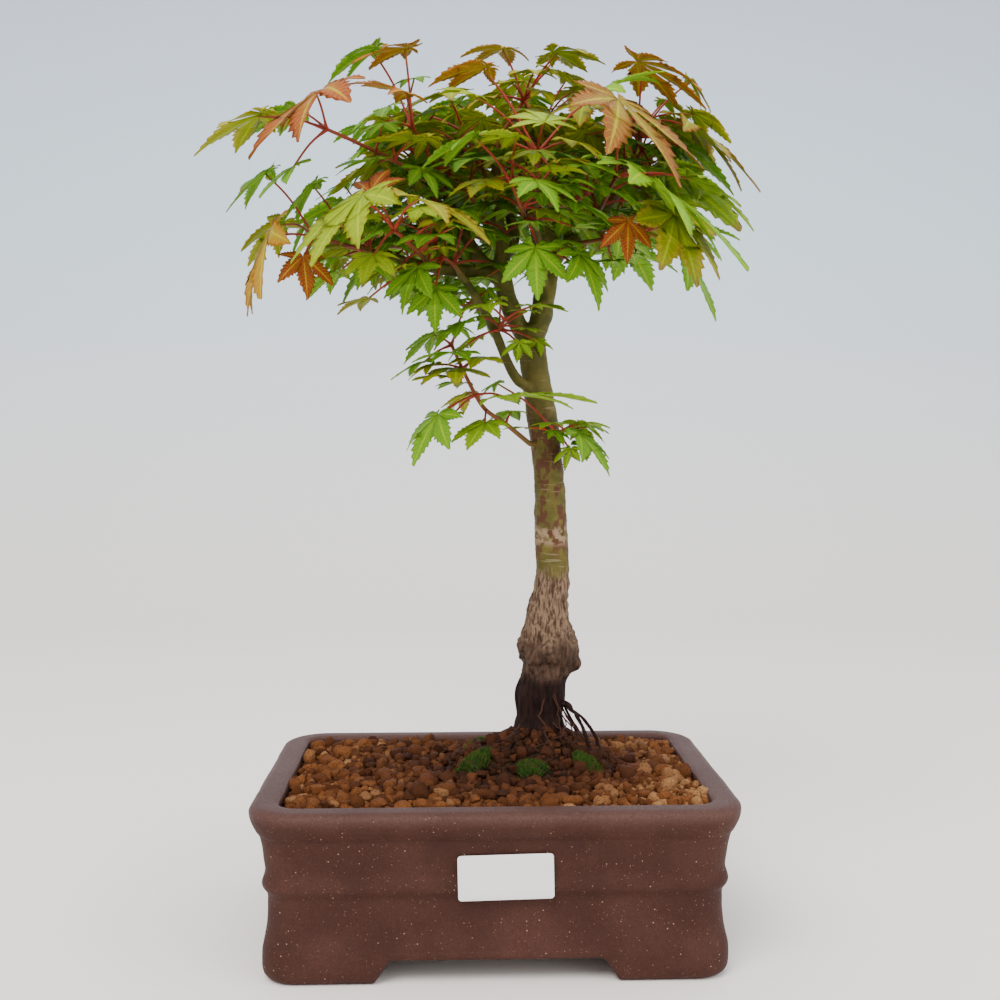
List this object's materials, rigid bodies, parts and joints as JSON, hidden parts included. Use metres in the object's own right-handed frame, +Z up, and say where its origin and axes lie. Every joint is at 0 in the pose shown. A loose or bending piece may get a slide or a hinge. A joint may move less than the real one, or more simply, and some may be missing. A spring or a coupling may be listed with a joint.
{
  "type": "maple bonsai in a rectangular clay pot",
  "caption": "Young Japanese maple bonsai with an umbrella crown of lobed green, lime and orange leaves, standing in a brown rectangular clay pot filled with clay granules.",
  "frame": {"origin": "on the table under the middle of the whole object's box", "axes": "+X along the pot's long side to the right as seen from the tagged front, +Y to the back, +Z up the trunk"},
  "size_m": [0.247, 0.232, 0.4143],
  "materials": {
    "clay": "satin",
    "card": "matte",
    "net": "matte",
    "wire": "satin",
    "akadama": "matte",
    "soil": "matte",
    "moss": "matte",
    "bark": "matte",
    "leaves": "satin"
  },
  "bodies": {
    "root": {"akadama_bed": "akadama", "blank_tag": "card", "drain_screen_left": "net", "drain_screen_right": "net", "leafy_shoot_01": "leaves", "leafy_shoot_02": "leaves", "leafy_shoot_03": "leaves", "leafy_shoot_04": "leaves", "leafy_shoot_05": "leaves", "leafy_shoot_06": "leaves", "leafy_shoot_07": "leaves", "leafy_shoot_08": "leaves", "leafy_shoot_09": "leaves", "leafy_shoot_10": "leaves", "leafy_shoot_11": "leaves", "leafy_shoot_12": "leaves", "leafy_shoot_13": "leaves", "leafy_shoot_14": "leaves", "leafy_shoot_15": "leaves", "leafy_shoot_16": "leaves", "leafy_shoot_17": "leaves", "leafy_shoot_18": "leaves", "leafy_shoot_19": "leaves", "leafy_shoot_20": "leaves", "leafy_shoot_21": "leaves", "leafy_shoot_22": "leaves", "leafy_shoot_23": "leaves", "leafy_shoot_24": "leaves", "leafy_shoot_25": "leaves", "leafy_shoot_26": "leaves", "leafy_shoot_27": "leaves", "leafy_shoot_28": "leaves", "leafy_shoot_29": "leaves", "leafy_shoot_30": "leaves", "leafy_shoot_31": "leaves", "leafy_shoot_32": "leaves", "leafy_shoot_33": "leaves", "leafy_shoot_34": "leaves", "leafy_shoot_35": "leaves", "leafy_shoot_36": "leaves", "leafy_shoot_37": "leaves", "moss_patch_1": "moss", "moss_patch_2": "moss", "moss_patch_3": "moss", "moss_patch_4": "moss", "moss_patch_5": "moss", "pot": "clay", "root_ball": "soil", "screen_clip_left": "wire", "screen_clip_right": "wire", "trunk": "bark"}
  },
  "joints": []
}
